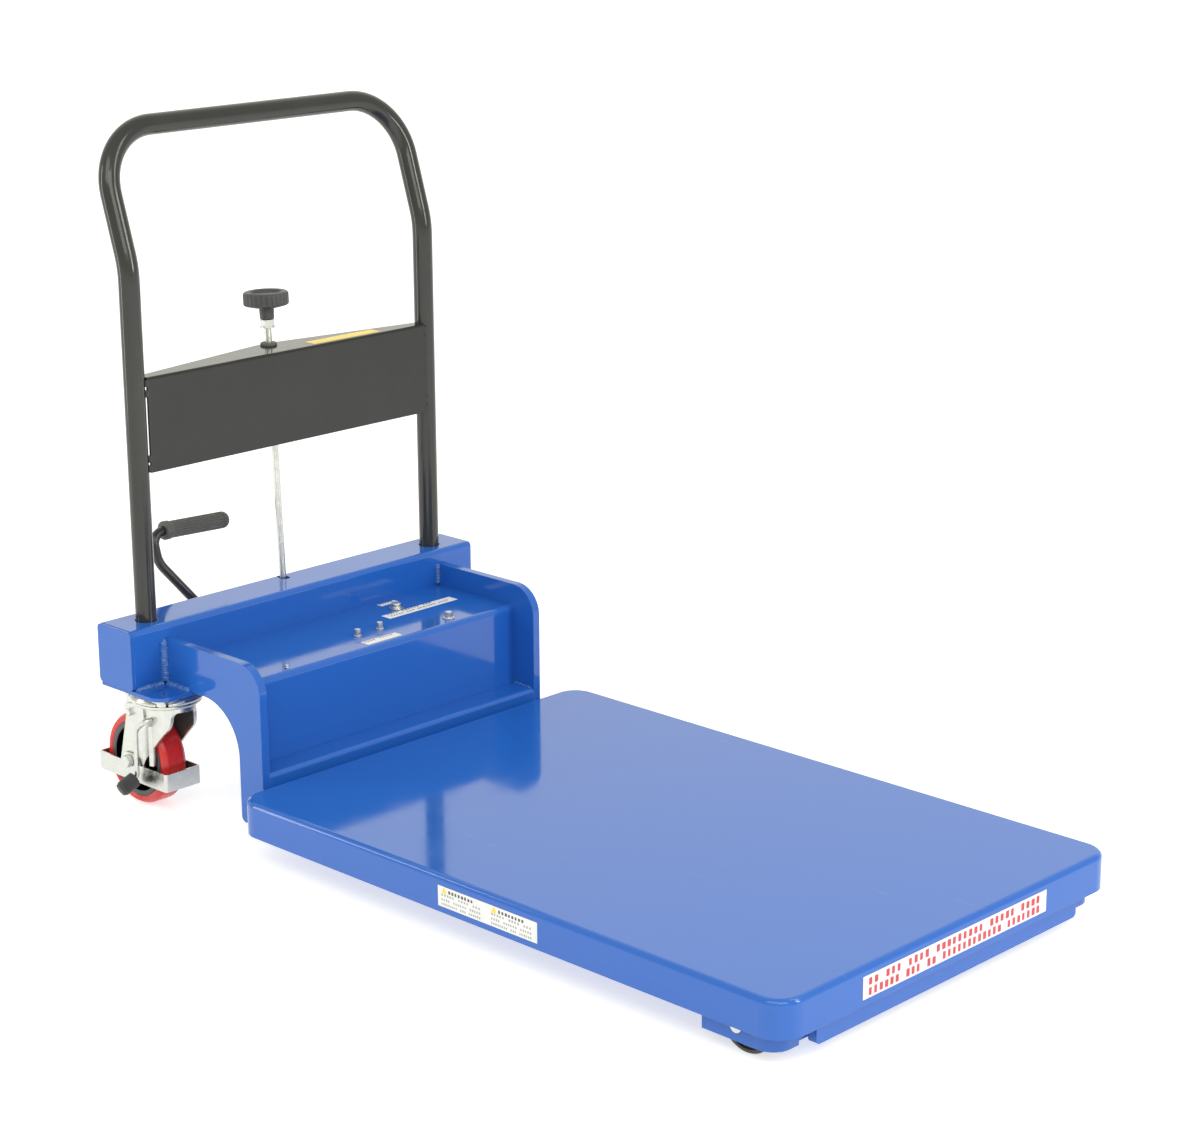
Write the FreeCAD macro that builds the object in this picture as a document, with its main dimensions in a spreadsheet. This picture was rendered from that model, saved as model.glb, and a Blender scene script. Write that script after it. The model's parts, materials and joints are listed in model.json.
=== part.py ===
"""Foot-pumped scissor-lift platform cart, built as separate named pieces.

Frame: millimetres, +Z up, the floor at Z = 0, +X from the push handle towards the deck's front,
+Y to the left. The origin is under the middle of the cart's overall length. Points are written
as (x, y, z) with x measured forward from the deck's rear edge and z above the floor, and spot()
turns them into the cart's frame.
"""
import FreeCAD, Part

import math
import os
import re
from types import SimpleNamespace

from FreeCAD import Placement, Rotation, Vector

os.makedirs("parts", exist_ok=True)
doc = FreeCAD.newDocument("LiftCart")

# ---------------------------------------------------------------- driving dimensions
SIZES = {
    # whole cart
    "overall_long": 1291.4,
    "sheet_thick": 3,
    "bar_thick": 6,
    "mount_thick": 5,
    # deck
    "deck_long": 914.4,
    "deck_wide": 619.3,
    "deck_high": 86,
    "skirt_deep": 46.5,
    "deck_corner": 34,
    "deck_bend": 7.5,
    # base frame
    "rail_out": 255,
    "rail_web": 8,
    "rail_low": 20,
    "rail_high": 66,
    "flange_in": 186,
    "front_plate_thick": 12,
    "front_plate_wide": 488,
    "side_plate_thick": 12,
    "side_plate_high": 241,
    "arch_radius": 70,
    # rear beam and handle
    "beam_deep": 72.5,
    "beam_tall": 82,
    "beam_wide": 616,
    "beam_low": 178.4,
    "beam_wall": 5,
    "handle_tube": 28,
    "handle_wall": 2.5,
    "handle_half": 256,
    "handle_kink": 733,
    "handle_top": 904.5,
    "panel_low": 461.7,
    "panel_high": 589,
    # scissor
    "leg_long": 800,
    "leg_deep": 28,
    "leg_thick": 8,
    "leg_pin": 8,
    "pivot_low": 42,
    "pivot_high": 64,
    "pivot_back": 60,
    "track_roller": 15.7,
    "running_fit": 0.05,
    # hydraulics
    "barrel_radius": 18,
    "barrel_bore": 13,
    "piston_rod": 9,
    "cylinder_pivot": 740,
    "plunger_radius": 8,
    # pedal and release
    "pedal_bar": 13.5,
    "grip_radius": 12,
    "release_bar": 9.5,
    "knob_radius": 31.2,
    # casters and load rollers
    "wheel_radius": 63.5,
    "wheel_wide": 38,
    "caster_trail": 50,
    "caster_half": 251.5,
    "caster_back": -212,
    "guard_long": 148,
    "guard_wide": 59,
    "guard_tall": 25,
    "load_roller": 38,
    "load_roller_wide": 28,
}

sheet = doc.addObject("Spreadsheet::Sheet", "Sizes")
for row, (alias, value) in enumerate(SIZES.items(), 1):
    sheet.set(f"A{row}", alias)
    sheet.set(f"B{row}", str(value))
    sheet.setAlias(f"B{row}", alias)
doc.recompute()
s = SimpleNamespace(**{alias: float(sheet.get(alias)) for alias in SIZES})

DECK_REAR = s.overall_long / 2 - s.deck_long
SIDES = (("left", 1), ("right", -1))
X_AXIS = Vector(1, 0, 0)
Y_AXIS = Vector(0, 1, 0)
Z_AXIS = Vector(0, 0, 1)

finished = {}


# ---------------------------------------------------------------- helpers
def spot(x, y, z):
    """A point x mm forward of the deck's rear edge, y to the left and z above the floor."""
    return Vector(DECK_REAR + x, y, z)


def bind(thing, prop, size):
    """Tie a size to the sheet; the words in the expression are the sheet's aliases."""
    thing.setExpression(prop, re.sub(r"[a-z]\w*", r"Sizes.\g<0>", str(size)))


def box(size, corner):
    """A rectangular bar from its lowest corner, its three sizes bound to the sheet."""
    made = doc.addObject("Part::Box", "Bar")
    for prop, text in zip(("Length", "Width", "Height"), size):
        bind(made, prop, text)
    made.Placement.Base = spot(*corner)
    return made


def rod(radius, length, start, along=Y_AXIS):
    """A round bar that starts at a point and runs along a direction."""
    made = doc.addObject("Part::Cylinder", "Rod")
    bind(made, "Radius", radius)
    bind(made, "Height", length)
    made.Placement = Placement(spot(*start), Rotation(Z_AXIS, along))
    return made


def hexagon(across, length, start, along=Z_AXIS):
    """A hexagonal bolt head or nut, given its size across the flats."""
    made = doc.addObject("Part::Prism", "Hexagon")
    made.Polygon = 6
    bind(made, "Circumradius", f"{across} / {2 * math.cos(math.pi / 6):.6f}")
    bind(made, "Height", length)
    made.Placement = Placement(spot(*start), Rotation(Z_AXIS, along))
    return made


def cut(base, *tools):
    made = doc.addObject("Part::Cut", "Cut")
    made.Base = base
    made.Tool = tools[0] if len(tools) == 1 else group(*tools)
    return made


def join(*pieces):
    made = doc.addObject("Part::MultiFuse", "Joined")
    made.Shapes = list(pieces)
    made.Refine = True
    return made


def group(*pieces):
    """Separate solids that are kept together."""
    made = doc.addObject("Part::Compound", "Group")
    made.Links = list(pieces)
    return made


def corner_arc(before, corner, after, radius):
    """Start, middle and end of the arc that rounds one corner of an outline."""
    back = (before - corner).normalize()
    ahead = (after - corner).normalize()
    half = back.getAngle(ahead) / 2
    inward = (back + ahead).normalize()
    centre = corner + inward * (radius / math.sin(half))
    reach = radius / math.tan(half)
    return corner + back * reach, centre - inward * radius, corner + ahead * reach


def rounded_path(points, closed):
    """Lines and tangent arcs through points given as (vector, corner radius)."""
    count = len(points)
    starts, ends, arcs = [], [], []
    for index, (corner, radius) in enumerate(points):
        rounded = radius > 0 and (closed or 0 < index < count - 1)
        if rounded:
            before = points[index - 1][0]
            after = points[(index + 1) % count][0]
            first, middle, last = corner_arc(before, corner, after, radius)
            arcs.append(Part.Arc(first, middle, last))
        else:
            first = last = corner
            arcs.append(None)
        starts.append(first)
        ends.append(last)
    pieces = []
    for index in range(count):
        if arcs[index]:
            pieces.append(arcs[index])
        if index < count - 1 or closed:
            to = starts[(index + 1) % count]
            if (to - ends[index]).Length > 1e-6:
                pieces.append(Part.LineSegment(ends[index], to))
    return pieces


def flat_points(outline):
    return [(Vector(p[0], p[1], 0), p[2] if len(p) > 2 else 0) for p in outline]


def sketch_on(body, role, outlines, holes=()):
    """A sketch on one of the body's own origin planes: closed outlines and round holes."""
    plane = [f for f in body.Origin.OriginFeatures if f.Role == role][0]
    sketch = body.newObject("Sketcher::SketchObject", "Outline")
    sketch.AttachmentSupport = (plane, [""])
    sketch.MapMode = "FlatFace"
    for outline in outlines:
        sketch.addGeometry(rounded_path(flat_points(outline), closed=True), False)
    for a, b, radius in holes:
        sketch.addGeometry(Part.Circle(Vector(a, b, 0), Z_AXIS, radius), False)
    return sketch


def plate(thick, outlines, plane="XY_Plane", at=(0, 0, 0), holes=(), turn=None):
    """A flat piece: an outline drawn on a plane and padded by its bound thickness.

    The pad grows along +Z on XY, along +X on YZ and along -Y on XZ.
    """
    body = doc.addObject("PartDesign::Body", "Plate")
    sketch = sketch_on(body, plane, outlines, holes)
    pad = body.newObject("PartDesign::Pad", "Thickness")
    pad.Profile = sketch
    bind(pad, "Length", thick)
    body.Placement = Placement(spot(*at), turn or Rotation())
    return body


def turned(outline, at=(0, 0, 0), along=Z_AXIS):
    """A turned piece: an outline of (radius, height) points spun about its axis."""
    body = doc.addObject("PartDesign::Body", "Turned")
    sketch = sketch_on(body, "XZ_Plane", [outline])
    spin = body.newObject("PartDesign::Revolution", "Spin")
    spin.Profile = sketch
    spin.ReferenceAxis = (sketch, ["V_Axis"])
    spin.Angle = 360
    body.Placement = Placement(spot(*at), Rotation(Z_AXIS, along))
    return body


def bent_bar(radius, points):
    """A round bar swept along straight runs and tangent arcs, given as (x, y, z, bend)."""
    route = [(spot(*p[:3]), p[3] if len(p) > 3 else 0) for p in points]
    path = doc.addObject("Part::Feature", "Route")
    path.Shape = Part.Wire([piece.toShape() for piece in rounded_path(route, closed=False)])
    ring = doc.addObject("Part::Circle", "Section")
    bind(ring, "Radius", radius)
    ring.Placement = Placement(route[0][0], Rotation(Z_AXIS, route[1][0] - route[0][0]))
    bar = doc.addObject("Part::Sweep", "Bent")
    bar.Sections = [ring]
    bar.Spine = (path, [])
    bar.Solid = True
    bar.Frenet = False
    return bar


def finish(name, piece):
    """Give a finished piece its own name."""
    piece.Label = name
    finished[name] = piece


def rectangle(a_low, b_low, a_high, b_high, radius=0):
    return [(a_low, b_low, radius), (a_high, b_low, radius),
            (a_high, b_high, radius), (a_low, b_high, radius)]


def facing(side, inner, thick):
    """Where an XZ plate's sketch sits so that it spans inner to inner + thick on one side."""
    return inner + thick if side > 0 else -inner


def mirrored(side, low, high):
    """The lower end of the span from low to high on one side of the middle plane."""
    return low if side > 0 else -high


# ---------------------------------------------------------------- deck
def deck_shell(inset, height):
    """A block with the deck's plan corners and rounded top edges, smaller by an inset."""
    body = doc.addObject("PartDesign::Body", "DeckBlock")
    low = s.deck_high - s.skirt_deep
    outline = rectangle(inset, inset - s.deck_wide / 2, s.deck_long - inset,
                        s.deck_wide / 2 - inset, s.deck_corner - inset)
    sketch = sketch_on(body, "XY_Plane", [outline])
    pad = body.newObject("PartDesign::Pad", "Depth")
    pad.Profile = sketch
    bind(pad, "Length", height)
    doc.recompute()
    top = pad.Shape.BoundBox.ZMax
    rim = [f"Edge{n}" for n, edge in enumerate(pad.Shape.Edges, 1)
           if edge.BoundBox.ZMin > top - 0.01]
    bend = body.newObject("PartDesign::Fillet", "Bend")
    bend.Base = (pad, rim)
    bind(bend, "Radius", f"deck_bend - {inset}")
    body.Placement.Base = spot(0, 0, low)
    return body


def build_deck():
    outside = deck_shell(0, "skirt_deep")
    inside = deck_shell(s.sheet_thick, "skirt_deep - sheet_thick")
    finish("deck_platform", cut(outside, inside))

    under = s.deck_high - s.sheet_thick
    pieces = []
    track_in, track_wide, track_start = 228, 18, 119
    track_long = s.deck_long - track_start - 25
    for _, side in SIDES:
        corner = (track_start, mirrored(side, track_in, track_in + track_wide),
                  under - s.sheet_thick)
        pieces.append(box((track_long, track_wide, "sheet_thick"), corner))
    rib_start, rib_deep = 20, 10
    rib_long = s.deck_long - rib_start - 25
    for y in (-140, -60, 60, 140):
        pieces.append(box((rib_long, "bar_thick", rib_deep),
                          (rib_start, y - s.bar_thick / 2, under - rib_deep)))
    lug_in, lug_half = 196, 14
    for _, side in SIDES:
        outline = [(-lug_half, under - s.pivot_high), (lug_half, under - s.pivot_high),
                   (lug_half, -lug_half, lug_half * 0.999),
                   (-lug_half, -lug_half, lug_half * 0.999)]
        pieces.append(plate("leg_thick", [outline], "XZ_Plane",
                            (s.pivot_back, facing(side, lug_in, s.leg_thick), s.pivot_high),
                            holes=[(0, 0, s.leg_pin)]))
    finish("deck_framework", group(*pieces))

    pins = []
    head_thick = 5
    pin_reach = INNER_LEG_IN + s.leg_thick - lug_in
    for _, side in SIDES:
        outward = Y_AXIS * side
        shank = rod("leg_pin", pin_reach, (s.pivot_back, side * lug_in, s.pivot_high), outward)
        head = rod("leg_pin + 4", head_thick,
                   (s.pivot_back, side * (lug_in - head_thick), s.pivot_high), outward)
        pins.append(join(shank, head))
    finish("deck_pins", group(*pins))


# ---------------------------------------------------------------- scissor legs
REST_ANGLE = math.asin((s.pivot_high - s.pivot_low) / s.leg_long)
LEG_RUN = s.leg_long * math.cos(REST_ANGLE)
FRONT = s.pivot_back + LEG_RUN
CENTRE = (s.pivot_back + LEG_RUN / 2, (s.pivot_low + s.pivot_high) / 2)
OUTER_LEG_IN = 222
INNER_LEG_IN = 206
SHAFT_RADIUS = 7.5


def leg_plate(side, inner, start, rise, holes):
    """A scissor leg: a round-ended bar from its rear pivot, rising or falling to the front."""
    half = s.leg_deep / 2
    end_round = half * 0.999
    outline = [(-half, -half, end_round), (s.leg_long + half, -half, end_round),
               (s.leg_long + half, half, end_round), (-half, half, end_round)]
    turn = Rotation(Y_AXIS, -rise * math.degrees(REST_ANGLE))
    return plate("leg_thick", [outline], "XZ_Plane",
                 (s.pivot_back, facing(side, inner, s.leg_thick), start), holes, turn)


def build_legs():
    free = s.leg_pin + s.running_fit
    middle = s.leg_long / 2
    for word, side in SIDES:
        outer_holes = [(0, 0, free), (middle, 0, s.leg_pin), (s.leg_long, 0, SHAFT_RADIUS)]
        inner_holes = [(0, 0, free), (middle, 0, free), (s.leg_long, 0, s.leg_pin)]
        finish(f"leg_outer_{word}",
               leg_plate(side, OUTER_LEG_IN, s.pivot_low, 1, outer_holes))
        finish(f"leg_inner_{word}",
               leg_plate(side, INNER_LEG_IN, s.pivot_high, -1, inner_holes))

    # the shaft is thinner between the legs, where the lower rollers pass close under it
    reach, thick_from, waist = 243.5, 217, 5.5
    outline = [(0, -reach), (SHAFT_RADIUS, -reach), (SHAFT_RADIUS, -thick_from),
               (waist, -thick_from), (waist, thick_from), (SHAFT_RADIUS, thick_from),
               (SHAFT_RADIUS, reach), (0, reach)]
    finish("upper_roller_shaft", turned(outline, (FRONT, 0, s.pivot_high), Y_AXIS))

    washer = 4
    pins = []
    stubs = []
    for _, side in SIDES:
        outward = Y_AXIS * side
        inside = INNER_LEG_IN - 1
        outside = OUTER_LEG_IN + s.leg_thick
        shank = rod("leg_pin", outside - inside + washer, (CENTRE[0], side * inside, CENTRE[1]),
                    outward)
        inner_head = rod("leg_pin + 4", washer,
                         (CENTRE[0], side * (inside - washer), CENTRE[1]), outward)
        outer_head = rod("leg_pin + 4", washer,
                         (CENTRE[0], side * outside, CENTRE[1]), outward)
        pins.append(join(shank, inner_head, outer_head))
        stub_in = 188
        stub = rod("leg_pin", INNER_LEG_IN + s.leg_thick - stub_in,
                   (FRONT, side * stub_in, s.pivot_low), outward)
        stop = rod("leg_pin + 3", 1.5, (FRONT, side * (stub_in - 1.5), s.pivot_low), outward)
        stubs.append(join(stub, stop))
    finish("centre_pins", group(*pins))
    finish("lower_roller_pins", group(*stubs))

    tube_half = INNER_LEG_IN
    load = leg_point(LOAD_TUBE_ALONG)
    brace = leg_point(BRACE_TUBE_ALONG)
    load_tube = rod(LOAD_TUBE_RADIUS, 2 * tube_half, (load[0], -tube_half, load[1]))
    brace_tube = rod(BRACE_TUBE_RADIUS, 2 * tube_half, (brace[0], -tube_half, brace[1]))
    finish("inner_cross_tubes", group(load_tube, brace_tube))

    low_rollers = []
    high_rollers = []
    roller_round = 1.5
    for _, side in SIDES:
        outward = Y_AXIS * side
        for made, start, wide, level, bore in (
                (low_rollers, 190, 14, s.pivot_low, s.leg_pin),
                (high_rollers, 231, 12, s.pivot_high, SHAFT_RADIUS)):
            outline = [(bore + s.running_fit, 0), (s.track_roller, 0, roller_round),
                       (s.track_roller, wide, roller_round), (bore + s.running_fit, wide)]
            made.append(turned(outline, (FRONT, side * start, level), outward))
    finish("lower_rollers", group(*low_rollers))
    finish("upper_rollers", group(*high_rollers))


LOAD_TUBE_ALONG = 200
LOAD_TUBE_RADIUS = 10
BRACE_TUBE_ALONG = 370
BRACE_TUBE_RADIUS = 7.5


def leg_point(along):
    """A point of the inner legs, so far from the centre pin towards their upper end."""
    return (CENTRE[0] - along * math.cos(REST_ANGLE), CENTRE[1] + along * math.sin(REST_ANGLE))


# ---------------------------------------------------------------- lift cylinder
def build_cylinder():
    pivot = (s.cylinder_pivot, 0, s.pivot_low)
    load = leg_point(LOAD_TUBE_ALONG)
    run = s.cylinder_pivot - load[0]
    rise = load[1] - s.pivot_low
    along = Vector(-run, 0, rise).normalize()
    turn = Rotation(Y_AXIS, math.degrees(math.atan2(rise, run)))

    eye_half = 20
    barrel_start, barrel_end, gland = 30, 385, 8
    bore_start = 45
    rod_gap = s.piston_rod + 0.08
    outline = [(0, 10), (12, 10), (12, barrel_start), (s.barrel_radius, barrel_start, 3),
               (s.barrel_radius, barrel_end, 2), (rod_gap, barrel_end),
               (rod_gap, barrel_end - gland), (s.barrel_bore, barrel_end - gland),
               (s.barrel_bore, bore_start), (0, bore_start)]
    tube = turned(outline, pivot, along)
    eye = rod(13, 2 * eye_half, (pivot[0], -eye_half, pivot[2]))
    hole = rod(7 + s.running_fit, 2 * eye_half, (pivot[0], -eye_half, pivot[2]))
    finish("cylinder_barrel", cut(join(tube, eye), hole))

    piston_start, piston_end = 60, 78
    rod_end = 450
    piston = s.barrel_bore - 0.1
    outline = [(0, piston_start), (piston, piston_start), (piston, piston_end),
               (s.piston_rod, piston_end), (s.piston_rod, rod_end), (0, rod_end)]
    bar = turned(outline, pivot, along)
    # the saddle is drawn in the cylinder's own plane: forward of the cart is +, up is +
    cup = LOAD_TUBE_RADIUS + 0.4
    saddle_wide = 40
    floor, sole = -5, -17
    heel, toe, lip = 440, 498, 492
    outline = [(-heel, floor), (-heel, sole, 3), (-toe, sole, 4), (-toe, 2, 2),
               (-lip, 2), (-lip, floor)]
    saddle = plate(saddle_wide, [outline], "XZ_Plane", (pivot[0], saddle_wide / 2, pivot[2]),
                   turn=turn)
    groove = rod(cup, saddle_wide, (load[0], -saddle_wide / 2, load[1]))
    finish("cylinder_rod", cut(join(bar, saddle), groove))


# ---------------------------------------------------------------- base frame
BEAM_FRONT = -209.5
BEAM_REAR = BEAM_FRONT - s.beam_deep
BEAM_TOP = s.beam_low + s.beam_tall
TUBE_X = -243
RELEASE_FOOT = (-267, BEAM_TOP)
RELEASE_HEAD = (-281.5, 654.5)
LEG_FRONT = -14
LEG_REAR = -60
RAIL_END = 892
ROLLER_AXLE = (842.4, 38)
COVER_HALF = s.rail_out - s.side_plate_thick - 1.5


def build_rails():
    web_in = s.rail_out - s.rail_web
    notch = 36.5
    notch_end = 12
    for word, side in SIDES:
        outline = [(LEG_FRONT, s.rail_low), (RAIL_END, s.rail_low), (RAIL_END, s.rail_high),
                   (notch_end, s.rail_high), (notch_end, notch), (LEG_FRONT, notch)]
        web = plate("rail_web", [outline], "XZ_Plane", (0, facing(side, web_in, s.rail_web), 0),
                    holes=[(s.pivot_back, s.pivot_low, s.leg_pin), (*ROLLER_AXLE, 6)])
        flange = box((RAIL_END - LEG_FRONT, "rail_out - rail_web - flange_in", "bar_thick"),
                     (LEG_FRONT, mirrored(side, s.flange_in, web_in), s.rail_low))
        finish(f"base_rail_{word}", join(web, flange))

    half = s.front_plate_wide / 2
    finish("base_front_plate",
           plate("front_plate_thick",
                 [[(-half, 16, 6), (half, 16, 6), (half, 76), (-half, 76)]],
                 "YZ_Plane", (RAIL_END + 4, 0, 0)))

    flats = []
    for start, end in ((100, 150), (420, 470), (715, 775)):
        flats.append(box((end - start, "2 * flange_in", "bar_thick"),
                         (start, -s.flange_in, s.rail_low)))
    lug_in, lug_thick, lug_half = 22, 8, 16
    lug_low = s.rail_low + s.bar_thick
    outline = [(-lug_half, lug_low), (lug_half, lug_low), (lug_half, 56, 12), (-lug_half, 56, 12)]
    lugs = []
    for _, side in SIDES:
        lugs.append(plate(lug_thick, [outline], "XZ_Plane",
                          (s.cylinder_pivot, facing(side, lug_in, lug_thick), 0),
                          holes=[(0, s.pivot_low, 7)]))
    finish("base_cross_members", group(*flats, *lugs))


def build_side_plates():
    arm_end = BEAM_FRONT
    outline = [(LEG_FRONT, 22), (LEG_FRONT, s.side_plate_high, 40),
               (arm_end, s.side_plate_high), (arm_end, s.beam_low),
               (LEG_REAR, s.beam_low, s.arch_radius), (LEG_REAR, 22, 8)]
    for word, side in SIDES:
        finish(f"side_plate_{word}",
               plate("side_plate_thick", [outline], "XZ_Plane",
                     (0, facing(side, COVER_HALF, s.side_plate_thick), 0)))


def build_brackets():
    """Bent corner straps that carry the load rollers' outer ends."""
    strap, side_out, start, low, high = 4, 299, 790, 18, 70
    front = RAIL_END + strap
    tab_in, tab_low, arch_out = 215, 45, 259
    for word, side in SIDES:
        outline = [(start, side * side_out), (front, side * side_out, 25),
                   (front, side * tab_in), (RAIL_END, side * tab_in),
                   (RAIL_END, side * (side_out - strap), 21), (start, side * (side_out - strap))]
        bracket = plate(high - low, [outline], "XY_Plane", (0, 0, low))
        arch = plate(strap + 2,
                     [[(side * (tab_in - 1), low - 1), (side * arch_out, low - 1),
                       (side * arch_out, tab_low, 10), (side * (tab_in - 1), tab_low)]],
                     "YZ_Plane", (RAIL_END - 1, 0, 0))
        hole = rod(6, strap + 2, (ROLLER_AXLE[0], mirrored(side, side_out - strap - 1,
                                                           side_out + 1), ROLLER_AXLE[1]))
        finish(f"corner_bracket_{word}", cut(bracket, arch, hole))




def release_x(z):
    """Where the leaning release rod is at a height."""
    part = (z - RELEASE_FOOT[1]) / (RELEASE_HEAD[1] - RELEASE_FOOT[1])
    return RELEASE_FOOT[0] + part * (RELEASE_HEAD[0] - RELEASE_FOOT[0])


RELEASE_AXIS = Vector(RELEASE_HEAD[0] - RELEASE_FOOT[0], 0,
                      RELEASE_HEAD[1] - RELEASE_FOOT[1]).normalize()


MOUNT_LOW = s.beam_low - s.mount_thick
BOLT_HOLE = 4.3


def caster_bolt_spots(side):
    """Where the four bolts of one caster go, as (x, y)."""
    half = 34
    return [(s.caster_back + dx, side * s.caster_half + dy)
            for dx in (-half, half) for dy in (-half, half)]


def build_beam():
    corner = 7
    wall = s.beam_wall
    cap_thick = 4
    outside = rectangle(BEAM_REAR, s.beam_low, BEAM_FRONT, BEAM_TOP, corner)
    inside = rectangle(BEAM_REAR + wall, s.beam_low + wall, BEAM_FRONT - wall,
                       BEAM_TOP - wall, corner - wall)
    tube_half = s.beam_wide / 2 - cap_thick
    tube = plate(2 * tube_half, [outside, inside], "XZ_Plane", (0, tube_half, 0))
    hole_play = 1.2
    tools = []
    for _, side in SIDES:
        tools.append(rod(f"handle_tube / 2 + {hole_play}", 2 * wall + 2,
                         (TUBE_X, side * s.handle_half, BEAM_TOP - wall - 1), Z_AXIS))
    slot_half_long, slot_half_wide = 11, 6.5
    tools.append(plate("beam_tall + 4",
                       [rectangle(-slot_half_long, -slot_half_wide, slot_half_long,
                                  slot_half_wide, slot_half_wide * 0.999)],
                       "XY_Plane", (RELEASE_FOOT[0] + 1, 0, s.beam_low - 2)))
    finish("rear_beam", cut(tube, *tools))

    step = 0.6
    cap = rectangle(BEAM_REAR + step, s.beam_low + step, BEAM_FRONT - step, BEAM_TOP - step,
                    corner - step)
    caps = [plate(cap_thick, [cap], "XZ_Plane", (0, facing(side, tube_half, cap_thick), 0))
            for _, side in SIDES]
    finish("beam_end_caps", group(*caps))

    mount_out, mount_in, mount_front = 306, 200, -155
    for word, side in SIDES:
        outline = [(BEAM_REAR + 2, side * mount_out), (mount_front, side * mount_out, 24),
                   (mount_front, side * mount_in, 6), (BEAM_REAR + 2, side * mount_in)]
        holes = [(x, y, BOLT_HOLE) for x, y in caster_bolt_spots(side)]
        finish(f"caster_mount_{word}",
               plate("mount_thick", [outline], "XY_Plane", (0, 0, MOUNT_LOW), holes))


def handle_route(low):
    lean_back = -296
    half = s.handle_half
    kink_bend, corner_bend = 120, 84
    return [(TUBE_X, -half, low), (TUBE_X, -half, s.handle_kink, kink_bend),
            (lean_back, -half, s.handle_top, corner_bend),
            (lean_back, half, s.handle_top, corner_bend),
            (TUBE_X, half, s.handle_kink, kink_bend), (TUBE_X, half, low)]


def build_handle():
    foot = s.beam_low + s.beam_wall
    finish("handle_frame",
           cut(bent_bar("handle_tube / 2", handle_route(foot)),
               bent_bar("handle_tube / 2 - handle_wall", handle_route(foot))))

    face = TUBE_X + s.handle_tube / 2 - 1
    thick = s.sheet_thick
    back_edge, back_side, apex_half = -290, -250, 13
    fold = [(face - thick, s.panel_low), (face, s.panel_low), (face, s.panel_high, 3.6),
            (back_edge, s.panel_high), (back_edge, s.panel_high - thick),
            (face - thick, s.panel_high - thick, 0.6)]
    half = s.handle_half - 11.4
    panel = plate(2 * half, [fold], "XZ_Plane", (0, half, 0))
    tools = [rod("handle_tube / 2", "panel_high - panel_low + 2",
                 (TUBE_X, side * s.handle_half, s.panel_low - 1), Z_AXIS) for _, side in SIDES]
    welds = []
    weld_radius, weld_long = 3.2, 9
    for _, side in SIDES:
        wedge = [(back_side, side * (half - 2)), (back_edge, side * apex_half),
                 (back_edge - 5, side * apex_half), (back_edge - 5, side * (half + 10)),
                 (back_side, side * (half + 10))]
        tools.append(plate(8, [wedge], "XY_Plane", (0, 0, s.panel_high - 6)))
        for low in (s.panel_low + 1, s.panel_low + 14, s.panel_high - 26, s.panel_high - 12):
            welds.append(rod(weld_radius, weld_long, (face - 2.6, side * (half + 0.5), low), Z_AXIS))
    grommet_x = release_x(s.panel_high)
    tools.append(rod(8, 12, (grommet_x, 0, s.panel_high - 8), Z_AXIS))
    finish("handle_panel", cut(join(panel, *welds), *tools))

    bore = s.release_bar / 2 + 0.6
    ring = [(bore, -9), (10.5, -9, 2), (10.5, -3.1), (7.9, -3.1), (7.9, 0.1),
            (11.5, 0.1), (11.5, 3.8, 1.8), (bore, 3.8)]
    finish("panel_grommet", turned(ring, (grommet_x, 0, s.panel_high)))


# ---------------------------------------------------------------- covers and pump
COVER_TOP = 209.5
PUMP_HALF = 34
PEDAL_PIVOT = (-250, 150)
PLUNGER = (-50, 125)
PLUNGER_BACK = -243.6
PIPE_Y = 20
PIPE_Z = 33


def build_covers():
    fold_x, fold_round = -54, 8
    top = COVER_TOP
    thick = s.sheet_thick
    crossbar_top = 95
    sheet_profile = [(BEAM_FRONT, top), (fold_x, top, fold_round), (fold_x, crossbar_top),
                     (fold_x - thick, crossbar_top),
                     (fold_x - thick, top - thick, fold_round - thick),
                     (BEAM_FRONT, top - thick)]
    finish("pump_cover", plate(2 * COVER_HALF, [sheet_profile], "XZ_Plane", (0, COVER_HALF, 0)))

    bar = s.bar_thick
    angle = [(-70, crossbar_top - bar), (-70, crossbar_top), (LEG_FRONT, crossbar_top, 6),
             (LEG_FRONT, 26), (LEG_FRONT - bar, 26), (LEG_FRONT - bar, crossbar_top - bar, 3)]
    crossbar = plate(2 * COVER_HALF, [angle], "XZ_Plane", (0, COVER_HALF, 0))
    holes = [rod(5.5, bar + 2, (LEG_FRONT - bar - 1, PIPE_Y, PIPE_Z), X_AXIS)]
    for x, y in ((-52, -155), (-51, 80), (-52, 211)):
        holes.append(rod(1.6, bar + 2, (x, y, crossbar_top - bar - 1), Z_AXIS))
    finish("cover_crossbar", cut(crossbar, *holes))

    washer_thick = 1.4
    fittings = []
    for x, y, across, head, washer in ((-105.5, -5, 7.6, 8.5, 5.4), (-108, 37.5, 7.6, 8.5, 5.4),
                                       (-76, 137, 10, 8, 8.6), (-68, -162, 5, 3, 3.5)):
        ring = rod(washer, washer_thick, (x, y, top), Z_AXIS)
        fittings.append(join(ring, hexagon(across, head, (x, y, top + washer_thick))))
    valve_x, valve_y = -163.5, 118
    gasket = rod(10.5, 1.6, (valve_x, valve_y, top), Z_AXIS)
    fitting = [(0, 0), (7.5, 0), (7.5, 2, 0.8), (5.5, 2), (5.5, 4), (6.8, 4, 0.6), (6.8, 7, 1.4),
               (0, 7)]
    fittings.append(join(gasket, turned(fitting, (valve_x, valve_y, top + 1.6))))
    finish("cover_fittings", group(*fittings))


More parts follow.
